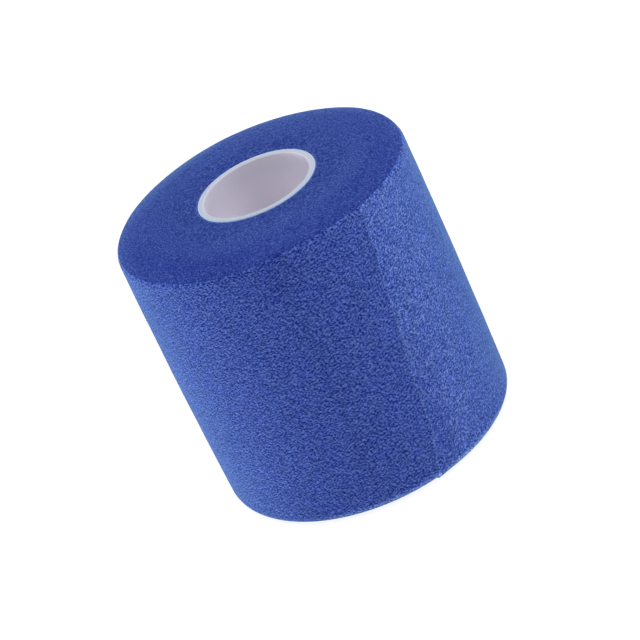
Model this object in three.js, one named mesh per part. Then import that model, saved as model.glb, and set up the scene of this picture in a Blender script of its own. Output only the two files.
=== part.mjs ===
// Elastic sports tape roll: blue foam tape wound on a white plastic core, standing on its end.
// Millimetres, +Z up. The roll's axis is Z, and the origin is at the middle of its lower end.
import * as THREE from "three";

const { degToRad, lerp, mapLinear, radToDeg, smoothstep } = THREE.MathUtils;

// The wound tape
const TAPE_WIDTH = 70;
const ROLL_RADIUS = 35.8;
const SIDE_BULGE = 0.35;
const TOP_ROUND = 1.4;
const BOTTOM_ROUND = 2.6;
const FLAT_RADIUS = 28;
const LAP_STEP = 0.4;
const STEP_RUN = 0.6;
// The outer laps lie this far towards +X from the core's axis
const LAP_SHIFT = -0.38;

// The core, how far the inner turns have slid up the roll, and how far its rim stands above them
const CORE_BORE_RADIUS = 13.1;
const CORE_RADIUS = 14.6;
const CORE_ROUND = 0.4;
const CORE_GAP = 0.3;
const FACE_CROWN = 1.6;
const CORE_PROUD = 0.25;

// Where the tape's cut end crosses each height of the side, in degrees from +X
const CUT_END = [
  { height: 0, angle: -73.9 },
  { height: 5, angle: -72.0 },
  { height: 12, angle: -69.2 },
  { height: 28, angle: -67.2 },
  { height: 38, angle: -64.7 },
  { height: 50, angle: -62.4 },
  { height: 60, angle: -60.0 },
  { height: 70, angle: -58.7 },
];

// How far the upper edge stands above or below its level at each angle, in degrees from +X
const RIM_WAVE = [
  { angle: -180, rise: -0.6 },
  { angle: -150, rise: -0.4 },
  { angle: -125, rise: -0.1 },
  { angle: -106, rise: 0.1 },
  { angle: -97, rise: 0.8 },
  { angle: -85, rise: 0.95 },
  { angle: -60, rise: 0.6 },
  { angle: -20, rise: 0.3 },
  { angle: 5, rise: -0.4 },
  { angle: 25, rise: -0.15 },
  { angle: 60, rise: -0.2 },
  { angle: 95, rise: -0.05 },
  { angle: 140, rise: -0.45 },
  { angle: 180, rise: -0.6 },
];

// Facets
const TAPE_COLUMNS = 96;
const CORE_COLUMNS = 72;
const EDGE_SEGMENTS = 5;
const CORE_EDGE_SEGMENTS = 3;
const LOWER_RINGS = 4;
const UPPER_RINGS = 6;

const TAPE_BORE_RADIUS = CORE_RADIUS + CORE_GAP;
const QUARTER_TURN = Math.PI / 2;
const FULL_TURN = Math.PI * 2;

// Reads a table at one place, with straight lines between its rows.
function readTable(rows, key, value, at) {
  const next = rows.findIndex((row) => row[key] > at);
  if (next === -1) {
    return rows[rows.length - 1][value];
  }
  if (next === 0) {
    return rows[0][value];
  }
  const low = rows[next - 1];
  const high = rows[next];
  return mapLinear(at, low[key], high[key], low[value], high[value]);
}

// A quarter circle of points about a centre, turning towards the left.
function roundedEdge(centreX, centreY, radius, startAngle, segments) {
  const endAngle = startAngle + QUARTER_TURN;
  const arc = new THREE.EllipseCurve(centreX, centreY, radius, radius, startAngle, endAngle);
  return arc.getPoints(segments);
}

// How far the lower end is lifted at a radius: most at the core, nothing on the outer turns.
function lowerLift(radius) {
  return FACE_CROWN * (1 - smoothstep(radius, TAPE_BORE_RADIUS, FLAT_RADIUS));
}

// How far the upper end is lifted at a radius: a low dome that falls to nothing at the side.
function upperLift(radius) {
  const share = (radius - TAPE_BORE_RADIUS) / (ROLL_RADIUS - TAPE_BORE_RADIUS);
  return FACE_CROWN * (1 - share ** 3);
}

// Points across one end of the roll, from the bore out to a radius.
function endPoints(outerRadius, level, lift, rings) {
  return Array.from({ length: rings + 1 }, (_, ring) => {
    const radius = lerp(TAPE_BORE_RADIUS, outerRadius, ring / rings);
    return new THREE.Vector2(radius, level + lift(radius));
  });
}

// The roll's half section: lower end, side, upper end, then back down the bore.
function tapeSection() {
  const lowerEdge = roundedEdge(
    ROLL_RADIUS - BOTTOM_ROUND, BOTTOM_ROUND, BOTTOM_ROUND, -QUARTER_TURN, EDGE_SEGMENTS,
  );
  const upperEdge = roundedEdge(
    ROLL_RADIUS - TOP_ROUND, TAPE_WIDTH - TOP_ROUND, TOP_ROUND, 0, EDGE_SEGMENTS,
  ).map((point) => new THREE.Vector2(point.x, point.y + upperLift(point.x)));
  const side = CUT_END
    .filter((row) => row.height > BOTTOM_ROUND && row.height < TAPE_WIDTH - TOP_ROUND)
    .map((row) => new THREE.Vector2(ROLL_RADIUS, row.height));
  const upperEnd = endPoints(ROLL_RADIUS - TOP_ROUND, TAPE_WIDTH, upperLift, UPPER_RINGS);
  const points = [
    ...endPoints(FLAT_RADIUS, 0, lowerLift, LOWER_RINGS),
    ...lowerEdge,
    ...side,
    ...upperEdge,
    ...upperEnd.reverse().slice(1),
  ];
  return [...points, points[0]];
}

// Winds a turned section into a roll: the outer lap loses one step of radius over its turn, and
// the cut end is the short riser from the end of that turn back to its start.
function windRoll(geometry, section) {
  const points = geometry.attributes.position;
  const riser = STEP_RUN / (FULL_TURN * ROLL_RADIUS);
  const middleEnd = readTable(CUT_END, "height", "angle", TAPE_WIDTH / 2);
  for (let i = 0; i < points.count; i += 1) {
    const column = Math.floor(i / section.length) % TAPE_COLUMNS;
    const { x: radius, y: height } = section[i % section.length];
    const outer = smoothstep(radius, FLAT_RADIUS, ROLL_RADIUS - TOP_ROUND);
    const upper = smoothstep(height, TAPE_WIDTH / 2, TAPE_WIDTH);

    const turned = (column / (TAPE_COLUMNS - 1)) * (1 - riser);
    const cutEnd = lerp(middleEnd, readTable(CUT_END, "height", "angle", height), outer);
    const angle = degToRad(cutEnd) + turned * FULL_TURN;

    const compass = radToDeg(Math.atan2(Math.sin(angle), Math.cos(angle)));
    const rise = readTable(RIM_WAVE, "angle", "rise", compass) * outer * upper;
    const bulge = SIDE_BULGE * (1 - ((2 * height) / TAPE_WIDTH - 1) ** 2);
    const lapRadius = radius + outer * (LAP_STEP * (0.5 - turned) + bulge);
    const x = lapRadius * Math.cos(angle) + LAP_SHIFT * outer;
    points.setXYZ(i, x, lapRadius * Math.sin(angle), height + rise);
  }
  geometry.computeVertexNormals();
  return geometry;
}

function woundTape() {
  const section = tapeSection();
  const geometry = windRoll(new THREE.LatheGeometry(section, TAPE_COLUMNS), section);
  const foam = new THREE.MeshStandardMaterial({ color: 0x3c5299, roughness: 0.95, metalness: 0 });
  const mesh = new THREE.Mesh(geometry, foam);
  mesh.name = "wound_tape";
  return mesh;
}

// The core's half section: a tube wall with both rims rounded.
function coreSection() {
  const inner = CORE_BORE_RADIUS + CORE_ROUND;
  const outer = CORE_RADIUS - CORE_ROUND;
  const low = FACE_CROWN + CORE_PROUD + CORE_ROUND;
  const high = FACE_CROWN + CORE_PROUD + TAPE_WIDTH - CORE_ROUND;
  const points = [
    ...roundedEdge(inner, low, CORE_ROUND, 2 * QUARTER_TURN, CORE_EDGE_SEGMENTS),
    ...roundedEdge(outer, low, CORE_ROUND, 3 * QUARTER_TURN, CORE_EDGE_SEGMENTS),
    ...roundedEdge(outer, high, CORE_ROUND, 0, CORE_EDGE_SEGMENTS),
    ...roundedEdge(inner, high, CORE_ROUND, QUARTER_TURN, CORE_EDGE_SEGMENTS),
  ];
  return [...points, points[0]];
}

function coreTube() {
  const geometry = new THREE.LatheGeometry(coreSection(), CORE_COLUMNS).rotateX(QUARTER_TURN);
  const plastic = new THREE.MeshStandardMaterial({ color: 0xdcdfe6, roughness: 0.45, metalness: 0 });
  const mesh = new THREE.Mesh(geometry, plastic);
  mesh.name = "core";
  return mesh;
}

const roll = new THREE.Group();
roll.name = "sports_tape_roll";
roll.add(woundTape(), coreTube());

export default roll;
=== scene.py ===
"""Elastic sports tape roll: blue foam tape wound on a white plastic core, on a pale floor.

Everything is in metres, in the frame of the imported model: +Z is up along the roll's axis, and the
tape's cut end faces the camera, which stands on the -Y side. Angles round the roll are in degrees
from +X. A pair of sizes is where a soft change starts and where it ends.
"""
import math

import bpy
import numpy as np
from mathutils import Matrix, Vector, noise


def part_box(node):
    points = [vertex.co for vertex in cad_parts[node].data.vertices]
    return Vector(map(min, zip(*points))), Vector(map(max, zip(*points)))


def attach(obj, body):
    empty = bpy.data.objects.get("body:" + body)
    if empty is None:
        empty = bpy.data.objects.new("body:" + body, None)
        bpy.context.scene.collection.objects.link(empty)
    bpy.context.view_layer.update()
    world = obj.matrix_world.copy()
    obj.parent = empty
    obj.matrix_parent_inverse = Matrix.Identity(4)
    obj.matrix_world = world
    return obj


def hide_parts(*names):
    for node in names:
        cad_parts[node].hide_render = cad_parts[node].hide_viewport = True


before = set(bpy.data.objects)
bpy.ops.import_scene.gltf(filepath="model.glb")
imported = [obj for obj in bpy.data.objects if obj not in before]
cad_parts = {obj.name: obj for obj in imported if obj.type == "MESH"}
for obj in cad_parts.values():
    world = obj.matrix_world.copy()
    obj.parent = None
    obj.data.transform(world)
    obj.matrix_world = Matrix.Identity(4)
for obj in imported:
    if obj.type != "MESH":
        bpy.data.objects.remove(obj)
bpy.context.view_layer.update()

MM = 0.001

# Sizes shared with the solids
SIDE_BULGE = 0.35 * MM
TOP_ROUND = 1.4 * MM
BOTTOM_ROUND = 2.6 * MM
CORE_BORE = 13.1 * MM
CORE_ROUND = 0.4 * MM
# The core's rim stands this far above the turns beside it
CORE_PROUD = 0.25 * MM
# The lower end is flat from this radius out, and the outer laps lie this far towards +X
FLAT_RADIUS = 28 * MM
LAP_SHIFT = -0.38 * MM

# Sizes worked out from the frame, the crown being how far the inner turns have slid up the roll
tape_low, tape_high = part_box("wound_tape")
core_low, core_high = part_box("core")
ROLL_RADIUS = (tape_high.x - tape_low.x + tape_high.y - tape_low.y) / 4 - SIDE_BULGE
CORE_RADIUS = (core_high.x - core_low.x) / 2
TAPE_WIDTH = core_high.z - core_low.z
FACE_CROWN = core_low.z - CORE_PROUD
LAP_LENGTH = 2 * math.pi * ROLL_RADIUS
ROLL_MIDDLE = Vector((0, 0, TAPE_WIDTH / 2))

# The tape's joint with the core, its turns, and the step down at its cut end
CORE_GAP = 0.05 * MM
TAPE_BORE = CORE_RADIUS + CORE_GAP
TURN_PITCH = 0.7 * MM
LAP_STEP = 0.2 * MM

# Where the cut end crosses the side: height in mm, angle. It wavers a little on its way up
CUT_END_ANGLES = {
    0: -73.9, 5: -72.0, 12: -69.2, 19: -67.9, 28: -67.2, 38: -64.7, 50: -62.4, 60: -60.0, 70: -58.7,
}
CUT_END_WAVER = 0.25 * MM
CUT_END_WAVER_LENGTH = 4 * MM

# The cut end's lower corner stands off the lap under it
CORNER_FLARE = 0.4 * MM
CORNER_REACH = 2.5 * MM

# How far the upper edge stands above or below its level: angle, rise in mm
RIM_RISES_MM = {
    -180: -0.6, -150: -0.4, -125: -0.1, -106: 0.1, -97: 0.8, -85: 0.95, -60: 0.6,
    -20: 0.3, 5: -0.4, 25: -0.15, 60: -0.2, 95: -0.05, 140: -0.45, 180: -0.6,
}

# The tape's last stretch is slack, and so paler and coarser than the tight laps under it. High on
# the side it is pale right from the cut end, and low down it pales over the first few millimetres
# The same tint also paints the highlight on the cut end's lip
SLACK_TONE_AND_LIP_HIGHLIGHT = np.array([1.46, 1.42, 1.18])
SLACK_LENGTH = 28 * MM
SLACK_START = -1 * MM, 9 * MM
SLACK_HEIGHTS = 9 * MM, 36 * MM
SLACK_TINT_FADE = 0.2 * SLACK_LENGTH, SLACK_LENGTH
SLACK_GRAIN_FADE = SLACK_LENGTH, 1.6 * SLACK_LENGTH

# A painted highlight on the thin lip of the cut end, in the slack tint; it loses part of its strength
# near the upper end
LIP_HIGHLIGHT_WIDTH = 0.3 * MM
LIP_HIGHLIGHT_SHARE = 1.5
LIP_HIGHLIGHT_LOSS = 0.5
LIP_HIGHLIGHT_LOSS_HEIGHTS = 45 * MM, 60 * MM

# A faint crease down the side, over the end of a lap that lies deeper
CREASE_ANGLE = -95.5
CREASE_HALF_WIDTH = 2.5
CREASE_DEPTH = 0.1 * MM
# Painted shade that darkens the crease
CREASE_SHADE_TINT = np.array([0.92, 0.93, 0.93])

# Darker places on the side, painted shade, with heights in mm
PAINTED_SHADE_TINT = np.array([0.86, 0.87, 0.94])
PAINTED_SHADE_PLACES = [
    {"angle": -122, "half_angle": 14, "height": 4, "half_height": 5, "share": 0.95},
    {"angle": -111, "half_angle": 7, "height": 22, "half_height": 18, "share": 0.55},
    {"angle": -101, "half_angle": 16, "height": 69, "half_height": 8, "share": 1.0},
    {"angle": -8, "half_angle": 12, "height": 22, "half_height": 14, "share": 0.75},
]

# The lower edge of the outer laps gets a painted highlight of the floor's light, most in front:
# angle, share
LOWER_EDGE_HIGHLIGHT = np.array([2.15, 2.1, 1.4])
LOWER_EDGE_HEIGHTS = 2.5 * MM, 1.6 * MM
LOWER_EDGE_RADII = ROLL_RADIUS - 1.5 * BOTTOM_ROUND, ROLL_RADIUS - BOTTOM_ROUND
LOWER_EDGE_HIGHLIGHT_SHARES = {-180: 0.3, -130: 0.1, -105: 1.0, -50: 1.0, -20: 0.5, 180: 0.3}

# Their upper edge gets a painted highlight towards the back, from the light behind, told by the sine
# of the angle
UPPER_EDGE_HIGHLIGHT = np.array([1.8, 1.65, 1.22])
UPPER_EDGE_RADII = 30 * MM, 36 * MM
UPPER_EDGE_SINES = -0.4, 1.0

# The upper end has a ring of painted highlight, further out at the back, and a ring of painted shade,
# both
# uneven round the roll: angle, share
UPPER_END_HEIGHTS = TAPE_WIDTH - TOP_ROUND, TAPE_WIDTH - 0.2 * TOP_ROUND
HIGHLIGHT_RING_TINT = np.array([1.26, 1.23, 1.07])
HIGHLIGHT_RING_RADIUS = 24.4 * MM
HIGHLIGHT_RING_DRIFT = 1.3 * MM
HIGHLIGHT_RING_HALF_WIDTH = 3.4 * MM
HIGHLIGHT_RING_SHARES = {
    -180: 0.15, -150: 0.1, -120: 0.9, -20: 1.0, 15: 0.15, 60: 0.7, 100: 0.5, 140: 0.15, 180: 0.15,
}
# Painted shade ring on the upper end
SHADE_RING_TINT = np.array([0.86, 0.85, 0.97])
SHADE_RING_RADIUS = 31 * MM
SHADE_RING_HALF_WIDTH = 2.3 * MM
SHADE_RING_SHARES = {
    -180: 1.0, -75: 0.9, -50: 0.35, 40: 0.6, 60: 0.0, 100: 0.0, 120: 1.0, 180: 1.0,
}

# Unevenness of the foam: size of each kind of lump, and how far it stands out
SWELL_SIZE = 14 * MM
SWELL_DEPTH = 0.07 * MM
LUMP_SIZE = 2.2 * MM
LUMP_DEPTH = 0.015 * MM
RIDGE_SIZE = 1.1 * MM
RIDGE_DEPTH = 0.045 * MM
# The foam is even where it meets the core, and fully uneven this far from it
RELIEF_CLEARANCE = 1 * MM

# How far a face looks up, from -1 to 1: only the upper end has ridges, the lower end stays flat,
# and past the last two values a face shows the tape's cut edges
RIDGE_FACING = 0.5, 0.95
RELIEF_FACING = -0.9, -0.3
UPPER_END_FACING = 0.75
LOWER_END_FACING = -0.97

# Fractal noise in the meshes
NOISE_DIMENSION = 1.0
NOISE_LACUNARITY = 2.0
NOISE_OCTAVES = 2

# Foam of the tape's face. Sizes are in mm along the lap, inward and up the side
TIGHT_GRAIN_MM = 0.52, 10, 0.235
SLACK_GRAIN_MM = 0.5, 10, 0.34
SLACK_CONTRAST = 0.78
GAP_STEP_MM = 0.2, 0, 0.5
GAP_SHARE = 0.22
STRAND_SHARE = 0.86
PORE_MM = 0.7, 0.45, 0.45
PORE_WALL = 0.3
PORE_WALL_SHARE = 0.15
PATCH_MM = 3.5, 5, 3
PATCH_TINTS = (0.98, 0.985, 1.06, 1.0), (1.02, 1.015, 0.94, 1.0)
SLANT_AXIS = 0.4, 0.8, 0.45
SLANT_ANGLE = 0.7

# Foam of the tape's cut edges. Sizes are in mm along X, Y and Z
TURN_DRIFT_MM = 12, 12, 12
TURN_DRIFT = 3.0
SEAM_SHARE = 0.12
END_GRAIN_MM = 0.42, 0.42, 0.42
END_GRAIN_DETAIL = 0.5
END_GRAIN_SHARE = 0.9
INNER_TURNS_RADII = 16 * MM, 25 * MM
INNER_TURNS_TINT = (1.0, 1.0, 0.94, 1.0)

# Foam colours, from dark pores to pale strands: place in the grain, colour
SIDE_COLOURS = [
    (0.28, (0.0030, 0.0085, 0.138)),
    (0.50, (0.030, 0.059, 0.298)),
    (0.72, (0.108, 0.166, 0.520)),
]
END_COLOURS = [
    (0.28, (0.0084, 0.0186, 0.157)),
    (0.50, (0.0263, 0.0478, 0.241)),
    (0.72, (0.0620, 0.0975, 0.357)),
]

# The core's plastic, a cool white on the rims and a warmer one in the bore, which starts and
# brightens over these depths from the nearer end, darker at the mouth and brighter deep down: painted
# light against the bore's shade
RIM_WHITE = np.array([0.375, 0.432, 0.53])
# The outer rounding's white is raised, painted light against the shade it lies in
OUTER_PAINTED_LIGHT_WHITE = np.array([0.56, 0.68, 0.84])
BORE_MOUTH_WHITE = np.array([0.62, 0.60, 0.69])
BORE_DEEP_WHITE = np.array([0.79, 0.755, 0.845])
BORE_START = 0, 0.4 * CORE_ROUND
BORE_PAINTED_LIGHT_FADE = CORE_ROUND, 12 * MM
CLOUD_MM = 9, 9, 14
CLOUD_BRIGHTNESS = 0.97, 1.03
CLOUD_ROUGHNESS = 0.42, 0.5
STREAK_MM = 0.6, 0.6, 30

# Most values of a noise node lie in this range
NOISE_RANGE = 0.3, 0.7

# Mesh density
LAP_COLUMNS = 470
SIDE_ROWS = 104
EDGE_ROWS = 9
TOP_RINGS = 52
BOTTOM_RINGS = 22
BORE_ROWS = 4
CORE_COLUMNS = 192
CORE_ROWS = 24
RIM_ROWS = 5
CORE_EDGE_ROWS = 8

# Columns are closer on both sides of the cut end. The cut edge itself takes up a short run before the
# end of the lap, and its columns are lifted by these parts of a lap step
CLOSE_COLUMNS = np.array([0.12, 0.3, 0.55, 0.9, 1.4]) * MM
CLOSE_SETBACK = 0.2 * MM
PLAIN_SETBACK = 2 * MM
CUT_EDGE_COLUMNS = np.array([0.24, 0.2, 0.14, 0.07]) * MM
CUT_EDGE_LIFTS = np.array([-0.42, -0.1, 0.22, 0.42])
CUT_EDGE_RUN = 0.25 * MM

# Floor
FLOOR_REACH = 3.0
FLOOR_CLOUD_MM = 170, 170, 170
FLOOR_GREYS = (0.20, 0.20, 0.21), (0.23, 0.23, 0.24)
FLOOR_GLOW = 0.86

# Light: a white room, brighter behind the roll than in front, and four softboxes, powers in watts
FRONT_LIGHT = 0.55
BACK_LIGHT = 1.01
SOFTBOX_DISTANCE = 0.6
SOFTBOXES = {
    "left_softbox": {"azimuth": 165, "elevation": 4, "size": (0.5, 0.1), "power": 2.15},
    "right_softbox": {"azimuth": 2, "elevation": 4, "size": (0.5, 0.1), "power": 0.6},
    "high_left_softbox": {"azimuth": 180, "elevation": 55, "size": (0.25, 0.25), "power": 0.6},
    "high_right_softbox": {"azimuth": 0, "elevation": 55, "size": (0.25, 0.25), "power": 1.4},
}

# The photograph's camera, fitted to the roll's outline
CAMERA_ELEVATION = math.radians(27.95)
CAMERA_ROLL = math.radians(-25.16)
CAMERA_LENS_MM = 162.5
CAMERA_SENSOR_MM = 36.0
CAMERA_DISTANCE = 678.2 * MM
CAMERA_SLIDE_RIGHT = 0.84 * MM
CAMERA_SLIDE_UP = -1.58 * MM
CAMERA_NEAREST = 0.01
CAMERA_FURTHEST = 20


def smoothstep(low, high, value):
    """A soft step, 0 up to the low value and 1 from the high one on."""
    share = np.clip((value - low) / (high - low), 0, 1)
    return share * share * (3 - 2 * share)


def hump(value, middle, half_width):
    """A soft hump, 1 at its middle and near 0 two half widths away."""
    return np.exp(-((value - middle) / half_width) ** 2)


def read_table(rows, places, unit=1):
    """Values of a table at each place, with straight lines between its rows."""
    return np.interp(places, np.array(list(rows)) * unit, list(rows.values()))


def tinted(tint, share):
    """Colour factors that go from plain to a tint with its share at each point."""
    return 1 + share[..., None] * (tint - 1)


def rounded_edge(centre_radius, centre_height, radius, start, count):
    """Radii and heights of a quarter circle in the half section, turning to the left."""
    turn = start + np.linspace(0, math.pi / 2, count + 1)
    return centre_radius + radius * np.cos(turn), centre_height + radius * np.sin(turn)


def noise_at(places):
    """Smooth noise of about -1 to 1 at each place, with lumps of about unit size."""
    settings = NOISE_DIMENSION, NOISE_LACUNARITY, NOISE_OCTAVES
    values = [
        noise.fractal(Vector(place), *settings, noise_basis="PERLIN_ORIGINAL")
        for place in places.reshape(-1, 3)
    ]
    return np.array(values).reshape(places.shape[:-1])


def grid_mesh(name, points):
    """A closed mesh from points[column][row], joined round in both directions."""
    columns, rows = points.shape[:2]
    index = np.arange(columns * rows).reshape(columns, rows)
    beyond = np.roll(index, -1, axis=0)
    quads = np.stack([
        index, beyond, np.roll(beyond, -1, axis=1), np.roll(index, -1, axis=1),
    ], axis=-1).reshape(-1, 4)
    mesh = bpy.data.meshes.new(name)
    mesh.from_pydata(points.reshape(-1, 3).tolist(), [], quads.tolist())
    mesh.polygons.foreach_set("use_smooth", np.ones(len(quads), dtype=bool))
    mesh.update()
    piece = bpy.data.objects.new(name, mesh)
    bpy.context.scene.collection.objects.link(piece)
    return piece


def add_vectors(mesh, name, values, domain="POINT"):
    """Keeps a vector for each point or face corner, for the materials to read."""
    layer = mesh.attributes.new(name, "FLOAT_VECTOR", domain)
    layer.data.foreach_set("vector", np.ascontiguousarray(values, dtype=np.float32).ravel())


# Wound tape


def tape_section():
    """Radii and heights round the half section: lower end, side, upper end, bore."""
    lower_radii = np.linspace(TAPE_BORE, ROLL_RADIUS - BOTTOM_ROUND, BOTTOM_RINGS)[:-1]
    upper_radii = np.linspace(ROLL_RADIUS - TOP_ROUND, TAPE_BORE, TOP_RINGS)[1:]
    side = np.linspace(BOTTOM_ROUND, TAPE_WIDTH - TOP_ROUND, SIDE_ROWS)[1:-1]
    lower_edge = rounded_edge(
        ROLL_RADIUS - BOTTOM_ROUND, BOTTOM_ROUND, BOTTOM_ROUND, -math.pi / 2, EDGE_ROWS
    )
    upper_edge = rounded_edge(
        ROLL_RADIUS - TOP_ROUND, TAPE_WIDTH - TOP_ROUND, TOP_ROUND, 0, EDGE_ROWS
    )
    bore = np.linspace(TAPE_WIDTH, 0, BORE_ROWS + 2)[1:-1]
    radii = np.concatenate([
        lower_radii, lower_edge[0], np.full_like(side, ROLL_RADIUS), upper_edge[0],
        upper_radii, np.full_like(bore, TAPE_BORE),
    ])
    heights = np.concatenate([
        np.zeros_like(lower_radii), lower_edge[1], side, upper_edge[1],
        np.full_like(upper_radii, TAPE_WIDTH), bore,
    ])
    return radii, heights


def section_normals(radii, heights):
    """Outward directions round the half section, as radial and axial parts."""
    run = np.roll(radii, -1) - np.roll(radii, 1)
    rise = np.roll(heights, -1) - np.roll(heights, 1)
    length = np.hypot(run, rise)
    return rise / length, -run / length


def lap_columns():
    """Distance along the outer lap from its cut end, and lift in lap steps, column by column.

    The lap sinks by one step over its turn. The last columns climb the cut edge back to the start.
    """
    plain = np.linspace(PLAIN_SETBACK, LAP_LENGTH - PLAIN_SETBACK, LAP_COLUMNS)
    last = LAP_LENGTH - CLOSE_COLUMNS[::-1] - CLOSE_SETBACK
    lap = np.concatenate([[0], CLOSE_COLUMNS, plain, last])
    lift = 0.5 - lap / LAP_LENGTH
    edge = LAP_LENGTH - CUT_EDGE_COLUMNS
    return np.concatenate([lap, edge]), np.concatenate([lift, CUT_EDGE_LIFTS])


def end_lift(radii, heights):
    """How far the turns have slid up the roll, most at the core: the upper end is a low dome."""
    below = 1 - smoothstep(TAPE_BORE, FLAT_RADIUS, radii)
    above = 1 - ((radii - TAPE_BORE) / (ROLL_RADIUS - TAPE_BORE)) ** 3
    return FACE_CROWN * np.where(heights > TAPE_WIDTH / 2, above, below)


def cut_end_angle(heights, outer):
    """Where the cut end lies at each row: slanted and wavering on the side, straight further in."""
    slant = read_table(CUT_END_ANGLES, heights, MM)
    middle = read_table(CUT_END_ANGLES, TAPE_WIDTH / 2, MM)
    along_cut = np.stack([heights / CUT_END_WAVER_LENGTH, 0 * heights, 0 * heights], axis=-1)
    waver = CUT_END_WAVER / ROLL_RADIUS * noise_at(along_cut)
    return np.radians(middle + (slant - middle) * outer) + waver * outer


def painted_edge_light(radii, heights, compass):
    """Colour factors of painted light: highlight and shade rings on the upper end, and highlights on
    the edges of the outer laps.
    """
    # Painted highlight on the lower edge
    lower = smoothstep(*LOWER_EDGE_HEIGHTS, heights) * smoothstep(*LOWER_EDGE_RADII, radii)
    lower = lower * read_table(LOWER_EDGE_HIGHLIGHT_SHARES, compass)

    back = np.sin(np.radians(compass))
    end = smoothstep(*UPPER_END_HEIGHTS, heights)
    # Painted highlight on the upper edge, towards the back
    upper = end * smoothstep(*UPPER_EDGE_RADII, radii) * smoothstep(*UPPER_EDGE_SINES, back)
    # Painted highlight ring on the upper end
    pale_radius = HIGHLIGHT_RING_RADIUS + HIGHLIGHT_RING_DRIFT * back
    pale = end * hump(radii, pale_radius, HIGHLIGHT_RING_HALF_WIDTH)
    pale = pale * read_table(HIGHLIGHT_RING_SHARES, compass)
    # Painted shade ring on the upper end
    dark = end * hump(radii, SHADE_RING_RADIUS, SHADE_RING_HALF_WIDTH)
    dark = dark * read_table(SHADE_RING_SHARES, compass)
    turns = tinted(HIGHLIGHT_RING_TINT, pale) * tinted(SHADE_RING_TINT, dark)
    return turns * tinted(UPPER_EDGE_HIGHLIGHT, upper) * tinted(LOWER_EDGE_HIGHLIGHT, lower)


def side_tone_and_painted_light(along, heights, compass):
    """Colour factors of the side: a paler slack end, a painted highlight on the lip, and painted
    shade in the crease and darker places.
    """
    slack = smoothstep(*SLACK_START, along)
    slack = slack + (1 - slack) * smoothstep(*SLACK_HEIGHTS, heights)
    slack = slack * (1 - smoothstep(*SLACK_TINT_FADE, along))
    # Painted highlight on the cut end's lip, in the slack tint
    lip = np.where(along > LAP_LENGTH - CUT_EDGE_RUN, 1, hump(along, 0, LIP_HIGHLIGHT_WIDTH))
    lip = lip * LIP_HIGHLIGHT_SHARE * (1 - LIP_HIGHLIGHT_LOSS * smoothstep(*LIP_HIGHLIGHT_LOSS_HEIGHTS, heights))
    # Painted shade in the crease
    crease = hump(compass, CREASE_ANGLE, CREASE_HALF_WIDTH)
    tint = tinted(SLACK_TONE_AND_LIP_HIGHLIGHT, np.maximum(slack, lip)) * tinted(CREASE_SHADE_TINT, crease)
    # Painted shade at the darker places
    for place in PAINTED_SHADE_PLACES:
        across = hump(compass, place["angle"], place["half_angle"])
        upward = hump(heights, place["height"] * MM, place["half_height"] * MM)
        tint = tint * tinted(PAINTED_SHADE_TINT, place["share"] * across * upward)
    return tint


def foam_relief(places, turns, compass, radii, outer, axial):
    """How far the uneven foam stands out at each point, with ridges where the turns show."""
    relief = SWELL_DEPTH * noise_at(places / SWELL_SIZE) + LUMP_DEPTH * noise_at(places / LUMP_SIZE)
    relief = relief + smoothstep(*RIDGE_FACING, axial) * RIDGE_DEPTH * noise_at(turns)
    relief = relief - CREASE_DEPTH * hump(compass, CREASE_ANGLE, CREASE_HALF_WIDTH) * outer
    clear_of_core = smoothstep(TAPE_BORE, TAPE_BORE + RELIEF_CLEARANCE, radii)
    return relief * clear_of_core * smoothstep(*RELIEF_FACING, axial)


def wound_tape():
    """The roll of tape: a spiral of one lap, whose cut end is a slanted step down the side."""
    radii, heights = tape_section()
    radial, axial = section_normals(radii, heights)
    along, lift = (column[:, None] for column in lap_columns())
    outer = smoothstep(FLAT_RADIUS, ROLL_RADIUS - TOP_ROUND, radii)
    upper = smoothstep(TAPE_WIDTH / 2, TAPE_WIDTH, heights)
    angle = cut_end_angle(heights, outer) + along / ROLL_RADIUS
    circle = np.stack([np.cos(angle), np.sin(angle)], axis=-1)
    compass = np.degrees(np.arctan2(np.sin(angle), np.cos(angle)))

    bulge = SIDE_BULGE * (1 - (2 * heights / TAPE_WIDTH - 1) ** 2)
    flare = CORNER_FLARE * hump(np.hypot(along, heights), 0, CORNER_REACH)
    radius = radii + outer * (LAP_STEP * lift + bulge + flare)
    rim_rise = read_table(RIM_RISES_MM, compass) * MM
    height = heights + end_lift(radii, heights) + rim_rise * outer * upper

    places = np.concatenate([radius[..., None] * circle, height[..., None]], axis=-1)
    turns = np.concatenate([circle, (radius / RIDGE_SIZE)[..., None]], axis=-1)
    relief = foam_relief(places, turns, compass, radii, outer, axial)
    radius = radius + radial * relief
    height = height + axial * relief

    shift = np.outer(outer, [LAP_SHIFT, 0])
    points = np.concatenate([radius[..., None] * circle + shift, height[..., None]], axis=-1)
    piece = grid_mesh("wound_tape_foam", points)
    add_winding(piece.data, along[:, 0], radii, heights)
    # The side's slack tone, with its painted highlight on the lip and painted shade
    add_vectors(piece.data, "side_tone_and_painted_light", side_tone_and_painted_light(along, heights, compass))
    # Painted highlights and shade on the edges and the upper end
    add_vectors(piece.data, "painted_edge_light", painted_edge_light(radii, heights, compass))

    piece.data.materials.append(foam_side_material())
    piece.data.materials.append(foam_end_material())
    facing = (axial + np.roll(axial, -1)) / 2
    on_end = (facing > UPPER_END_FACING) | (facing < LOWER_END_FACING)
    on_end = np.broadcast_to(on_end, radius.shape)
    piece.data.polygons.foreach_set("material_index", on_end.astype(np.int32).ravel())
    return piece


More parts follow.
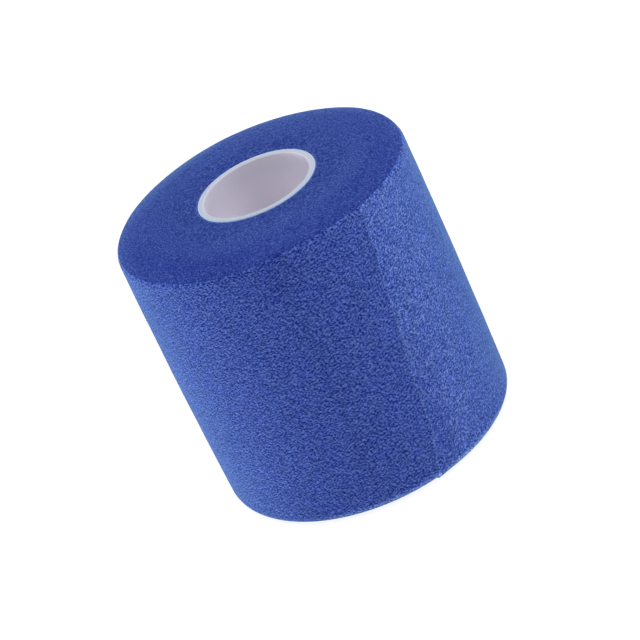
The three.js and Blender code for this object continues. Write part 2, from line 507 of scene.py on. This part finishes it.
def add_winding(mesh, along, radii, heights):
    """Gives each face corner its place in the winding: along the lap, radius, height."""
    next_along = np.append(along[1:], LAP_LENGTH)
    next_radii = np.roll(radii, -1)
    next_heights = np.roll(heights, -1)
    corner_along = np.stack([along, next_along, next_along, along], axis=-1)[:, None]
    corner_radius = np.stack([radii, radii, next_radii, next_radii], axis=-1)
    corner_height = np.stack([heights, heights, next_heights, next_heights], axis=-1)
    places = np.broadcast_arrays(corner_along, corner_radius, corner_height)
    add_vectors(mesh, "winding", np.stack(places, axis=-1), "CORNER")


# Core


def core_tube():
    """The core: a tube with rounded rims, and its white for each point, with painted light on the
    outer rounding and in the bore.
    """
    inner = CORE_BORE + CORE_ROUND
    outer = CORE_RADIUS - CORE_ROUND
    low = core_low.z + CORE_ROUND
    high = core_high.z - CORE_ROUND
    wall = np.linspace(low, high, CORE_ROWS)[1:-1]
    rim = np.linspace(outer, inner, RIM_ROWS)[1:-1]
    edges = [
        rounded_edge(inner, low, CORE_ROUND, math.pi, CORE_EDGE_ROWS),
        rounded_edge(outer, low, CORE_ROUND, -math.pi / 2, CORE_EDGE_ROWS),
        rounded_edge(outer, high, CORE_ROUND, 0, CORE_EDGE_ROWS),
        rounded_edge(inner, high, CORE_ROUND, math.pi / 2, CORE_EDGE_ROWS),
    ]
    radii = np.concatenate([
        edges[0][0], rim[::-1], edges[1][0], np.full_like(wall, CORE_RADIUS),
        edges[2][0], rim, edges[3][0], np.full_like(wall, CORE_BORE),
    ])
    heights = np.concatenate([
        edges[0][1], np.full_like(rim, core_low.z), edges[1][1], wall,
        edges[2][1], np.full_like(rim, core_high.z), edges[3][1], wall[::-1],
    ])
    angle = np.linspace(0, 2 * math.pi, CORE_COLUMNS, endpoint=False)[:, None]
    points = np.stack([
        radii * np.cos(angle), radii * np.sin(angle), heights + 0 * angle,
    ], axis=-1)
    piece = grid_mesh("core_tube", points)

    depth = np.minimum(heights - core_low.z, core_high.z - heights)
    in_bore = np.where(radii < inner, smoothstep(*BORE_START, depth), 0)[:, None]
    # Painted light on the outer rounding
    outside = np.where(radii > outer, smoothstep(0, CORE_ROUND, depth), 0)[:, None]
    # Painted light that brightens the bore's white with depth, against its shade
    deep = smoothstep(*BORE_PAINTED_LIGHT_FADE, depth)[:, None]
    bore_white = BORE_MOUTH_WHITE + deep * (BORE_DEEP_WHITE - BORE_MOUTH_WHITE)
    white = RIM_WHITE + in_bore * (bore_white - RIM_WHITE) + outside * (OUTER_PAINTED_LIGHT_WHITE - RIM_WHITE)
    add_vectors(piece.data, "white", np.broadcast_to(white, points.shape))
    piece.data.materials.append(plastic_material())
    return piece


# Materials


class Shader:
    """A short way to add and join the nodes of one material."""

    def __init__(self, name):
        self.material = bpy.data.materials.new(name)
        self.material.use_nodes = True
        self.tree = self.material.node_tree
        self.surface = self.tree.nodes["Principled BSDF"]

    def add(self, kind, inputs=None, **settings):
        made = self.tree.nodes.new(kind)
        for name, value in settings.items():
            setattr(made, name, value)
        for key, value in (inputs or {}).items():
            self.feed(made.inputs[key], value)
        return made

    def feed(self, socket, value):
        if isinstance(value, bpy.types.NodeSocket):
            self.tree.links.new(value, socket)
        else:
            socket.default_value = value

    def set(self, **values):
        """Feeds the surface's sockets, named with _ for each space."""
        for name, value in values.items():
            self.feed(self.surface.inputs[name.replace("_", " ")], value)

    def vectors(self, name):
        return self.add("ShaderNodeAttribute", attribute_name=name).outputs["Vector"]

    def colours(self, name):
        return self.add("ShaderNodeAttribute", attribute_name=name).outputs["Color"]

    def place(self):
        return self.add("ShaderNodeTexCoord").outputs["Object"]

    def parts(self, vector):
        return self.add("ShaderNodeSeparateXYZ", {0: vector}).outputs

    def math(self, operation, first, second=0.0, third=0.0):
        made = self.add("ShaderNodeMath", {0: first, 1: second, 2: third}, operation=operation)
        return made.outputs[0]

    def sized(self, vector, sizes_mm):
        """The vector measured in lumps of the given sizes along its three directions."""
        scale = [1 / (size * MM) for size in sizes_mm]
        made = self.add("ShaderNodeVectorMath", {0: vector, 1: scale}, operation="MULTIPLY")
        return made.outputs[0]

    def moved(self, vector, steps_mm):
        """The vector moved by the given steps along its three directions."""
        steps = [step * MM for step in steps_mm]
        made = self.add("ShaderNodeVectorMath", {0: vector, 1: steps}, operation="ADD")
        return made.outputs[0]

    def unit_noise(self, vector, detail):
        inputs = {"Vector": vector, "Scale": 1.0, "Detail": detail, "Roughness": 0.5}
        return self.add("ShaderNodeTexNoise", inputs).outputs["Fac"]

    def noise(self, vector, sizes_mm, detail=2.0):
        return self.unit_noise(self.sized(vector, sizes_mm), detail)

    def slanted_noise(self, vector, sizes_mm):
        """Plain noise turned on a slant, so that no row of it lies along the tape."""
        inputs = {"Vector": self.sized(vector, sizes_mm), "Axis": SLANT_AXIS, "Angle": SLANT_ANGLE}
        turned = self.add("ShaderNodeVectorRotate", inputs).outputs["Vector"]
        return self.unit_noise(turned, detail=0.0)

    def cell_walls(self, vector, sizes_mm):
        """Distance from the walls of foam cells, 0 on a wall."""
        inputs = {"Vector": self.sized(vector, sizes_mm), "Scale": 1.0}
        made = self.add("ShaderNodeTexVoronoi", inputs, feature="DISTANCE_TO_EDGE")
        return made.outputs["Distance"]

    def span(self, value, low, high, to_low, to_high):
        source = {"Value": value, "From Min": low, "From Max": high}
        made = self.add("ShaderNodeMapRange", {**source, "To Min": to_low, "To Max": to_high})
        return made.outputs["Result"]

    def ramp(self, value, stops):
        made = self.add("ShaderNodeValToRGB", {"Fac": value})
        bands = made.color_ramp.elements
        while len(bands) < len(stops):
            bands.new(0.5)
        for band, (place, colour) in zip(bands, stops):
            band.position = place
            band.color = (*colour, 1)
        return made.outputs["Color"]

    def mix(self, share, first, second, blend="MIX"):
        made = self.add("ShaderNodeMix", data_type="RGBA", blend_type=blend)
        self.feed(made.inputs["Factor"], share)
        self.feed(made.inputs["A"], first)
        self.feed(made.inputs["B"], second)
        return made.outputs["Result"]

    def times(self, first, second):
        return self.mix(1.0, first, second, "MULTIPLY")

    def grey(self, value):
        return self.add("ShaderNodeCombineColor", {0: value, 1: value, 2: value}).outputs[0]

    def bump(self, height, strength, depth):
        inputs = {"Strength": strength, "Distance": depth, "Height": height}
        return self.add("ShaderNodeBump", inputs).outputs["Normal"]


def foam_side_material():
    """The open foam of the tape's face: pale strands round dark pores, drawn out along the lap."""
    shader = Shader("foam_side")
    winding = shader.vectors("winding")
    along = shader.parts(winding)[0]

    tight = shader.slanted_noise(winding, TIGHT_GRAIN_MM)
    gaps = shader.slanted_noise(shader.moved(winding, GAP_STEP_MM), TIGHT_GRAIN_MM)
    gaps = shader.math("MULTIPLY_ADD", gaps, -GAP_SHARE, GAP_SHARE / 2)
    tight = shader.math("ADD", tight, gaps)
    slack = shader.slanted_noise(winding, SLACK_GRAIN_MM)
    slack = shader.math("MULTIPLY_ADD", slack, SLACK_CONTRAST, (1 - SLACK_CONTRAST) / 2)
    slack_share = shader.span(along, *SLACK_GRAIN_FADE, 1.0, 0.0)
    strands = shader.math("MULTIPLY_ADD", slack_share, shader.math("SUBTRACT", slack, tight), tight)
    walls = shader.span(shader.cell_walls(winding, PORE_MM), 0.0, PORE_WALL, 1.0, 0.0)
    strands = shader.math("MULTIPLY", strands, STRAND_SHARE)
    grain = shader.math("MULTIPLY_ADD", walls, PORE_WALL_SHARE, strands)

    patches = shader.span(shader.noise(winding, PATCH_MM), *NOISE_RANGE, 0.0, 1.0)
    colour = shader.times(shader.ramp(grain, SIDE_COLOURS), shader.mix(patches, *PATCH_TINTS))
    # Slack tone, with painted highlight on the lip and painted shade in the crease and darker places
    colour = shader.times(colour, shader.colours("side_tone_and_painted_light"))
    # Painted highlights on the edges of the outer laps
    colour = shader.times(colour, shader.colours("painted_edge_light"))
    shader.set(Base_Color=colour, Normal=shader.bump(grain, strength=0.5, depth=0.12 * MM))
    shader.set(Roughness=0.95, Specular_IOR_Level=0.05)
    shader.set(Sheen_Weight=0.22, Sheen_Roughness=0.45, Sheen_Tint=(0.42, 0.87, 1.0, 1.0))
    return shader.material


def foam_end_material():
    """The tape's cut edges, turn on turn: finer and more even than its face."""
    shader = Shader("foam_end")
    place = shader.place()
    along, radius, _ = shader.parts(shader.vectors("winding"))

    # The seam is the distance from the nearest joint of two turns, in turns
    drift = shader.math("MULTIPLY", shader.noise(place, TURN_DRIFT_MM), TURN_DRIFT)
    turn = shader.math("MULTIPLY_ADD", radius, 1 / TURN_PITCH, drift)
    turn = shader.math("SUBTRACT", turn, shader.math("DIVIDE", along, LAP_LENGTH))
    seam = shader.math("PINGPONG", turn, 0.5)
    fine = shader.noise(place, END_GRAIN_MM, END_GRAIN_DETAIL)
    fine = shader.math("MULTIPLY", fine, END_GRAIN_SHARE)
    grain = shader.math("MULTIPLY_ADD", seam, SEAM_SHARE, fine)

    colour = shader.ramp(grain, END_COLOURS)
    inner_turns = shader.span(radius, *INNER_TURNS_RADII, 1.0, 0.0)
    colour = shader.mix(inner_turns, colour, shader.times(colour, INNER_TURNS_TINT))
    # Painted highlight and shade rings, and painted highlights on the edges
    colour = shader.times(colour, shader.colours("painted_edge_light"))
    shader.set(Base_Color=colour, Normal=shader.bump(grain, strength=0.4, depth=0.10 * MM))
    shader.set(Roughness=1.0, Specular_IOR_Level=0.0)
    shader.set(Sheen_Weight=0.3, Sheen_Roughness=0.3, Sheen_Tint=(0.45, 0.85, 1.0, 1.0))
    return shader.material


def plastic_material():
    """Smooth moulded plastic with faint clouds, and streaks along the tube."""
    shader = Shader("white_plastic")
    place = shader.place()
    clouds = shader.noise(place, CLOUD_MM)
    streaks = shader.noise(place, STREAK_MM)
    brightness = shader.grey(shader.span(clouds, *NOISE_RANGE, *CLOUD_BRIGHTNESS))
    colour = shader.times(shader.colours("white"), brightness)
    shader.set(Base_Color=colour, Normal=shader.bump(streaks, strength=0.1, depth=0.04 * MM))
    shader.set(Roughness=shader.span(clouds, *NOISE_RANGE, *CLOUD_ROUGHNESS))
    shader.set(Specular_IOR_Level=0.3)
    return shader.material


def floor_material():
    """A matt pale floor that glows a little, so that it stays near white round the roll."""
    shader = Shader("pale_floor")
    clouds = shader.noise(shader.place(), FLOOR_CLOUD_MM)
    colour = shader.ramp(clouds, list(zip(NOISE_RANGE, FLOOR_GREYS)))
    shader.set(Base_Color=colour, Roughness=0.9, Specular_IOR_Level=0.0)
    shader.set(Emission_Color=(1.0, 1.0, 1.0, 1.0), Emission_Strength=FLOOR_GLOW)
    return shader.material


# Studio


def add_floor():
    reach = FLOOR_REACH
    corners = [(-reach, -reach, 0), (reach, -reach, 0), (reach, reach, 0), (-reach, reach, 0)]
    mesh = bpy.data.meshes.new("floor")
    mesh.from_pydata(corners, [], [(0, 1, 2, 3)])
    mesh.materials.append(floor_material())
    floor = bpy.data.objects.new("floor", mesh)
    bpy.context.scene.collection.objects.link(floor)


def add_softbox(name, azimuth, elevation, size, power):
    """A soft rectangular light that faces the roll, its angles in degrees."""
    turn = math.radians(azimuth)
    tilt = math.radians(elevation)
    direction = Vector((
        math.cos(tilt) * math.cos(turn), math.cos(tilt) * math.sin(turn), math.sin(tilt),
    ))
    data = bpy.data.lights.new(name, "AREA")
    data.shape = "RECTANGLE"
    data.size, data.size_y = size
    data.energy = power
    lamp = bpy.data.objects.new(name, data)
    lamp.location = ROLL_MIDDLE + direction * SOFTBOX_DISTANCE
    lamp.rotation_mode = "QUATERNION"
    lamp.rotation_quaternion = (ROLL_MIDDLE - lamp.location).to_track_quat("-Z", "Y")
    bpy.context.scene.collection.objects.link(lamp)


def add_world():
    """A white room whose brightness goes with the Y part of the direction, from -1 to 1."""
    world = bpy.data.worlds.new("studio")
    world.use_nodes = True
    nodes, links = world.node_tree.nodes, world.node_tree.links
    background = nodes["Background"]
    background.inputs["Color"].default_value = (1.0, 1.0, 1.0, 1.0)
    direction = nodes.new("ShaderNodeTexCoord").outputs["Generated"]
    split = nodes.new("ShaderNodeSeparateXYZ")
    links.new(direction, split.inputs[0])
    brightness = nodes.new("ShaderNodeMapRange")
    brightness.inputs["From Min"].default_value = -1.0
    brightness.inputs["To Min"].default_value = FRONT_LIGHT
    brightness.inputs["To Max"].default_value = BACK_LIGHT
    links.new(split.outputs["Y"], brightness.inputs["Value"])
    links.new(brightness.outputs["Result"], background.inputs["Strength"])
    bpy.context.scene.world = world
    bpy.context.scene.view_settings.view_transform = "Standard"


def add_camera():
    """A camera in front of the roll and above it, rolled about its own axis."""
    back = Vector((0, -math.cos(CAMERA_ELEVATION), math.sin(CAMERA_ELEVATION)))
    level_right = Vector((1, 0, 0))
    level_up = back.cross(level_right)
    right = level_right * math.cos(CAMERA_ROLL) + level_up * math.sin(CAMERA_ROLL)
    up = level_up * math.cos(CAMERA_ROLL) - level_right * math.sin(CAMERA_ROLL)
    slide = right * CAMERA_SLIDE_RIGHT + up * CAMERA_SLIDE_UP
    place = ROLL_MIDDLE + back * CAMERA_DISTANCE + slide
    data = bpy.data.cameras.new("camera")
    data.lens = CAMERA_LENS_MM
    data.sensor_width = CAMERA_SENSOR_MM
    data.clip_start = CAMERA_NEAREST
    data.clip_end = CAMERA_FURTHEST
    camera = bpy.data.objects.new("camera", data)
    turn = Matrix((right, up, back)).transposed().to_4x4()
    camera.matrix_world = Matrix.Translation(place) @ turn
    bpy.context.scene.collection.objects.link(camera)
    bpy.context.scene.camera = camera


add_camera()
add_world()
add_floor()
for name, settings in SOFTBOXES.items():
    add_softbox(name, **settings)

tape = wound_tape()
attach(tape, "root")
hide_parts("wound_tape")

core = core_tube()
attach(core, "root")
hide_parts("core")
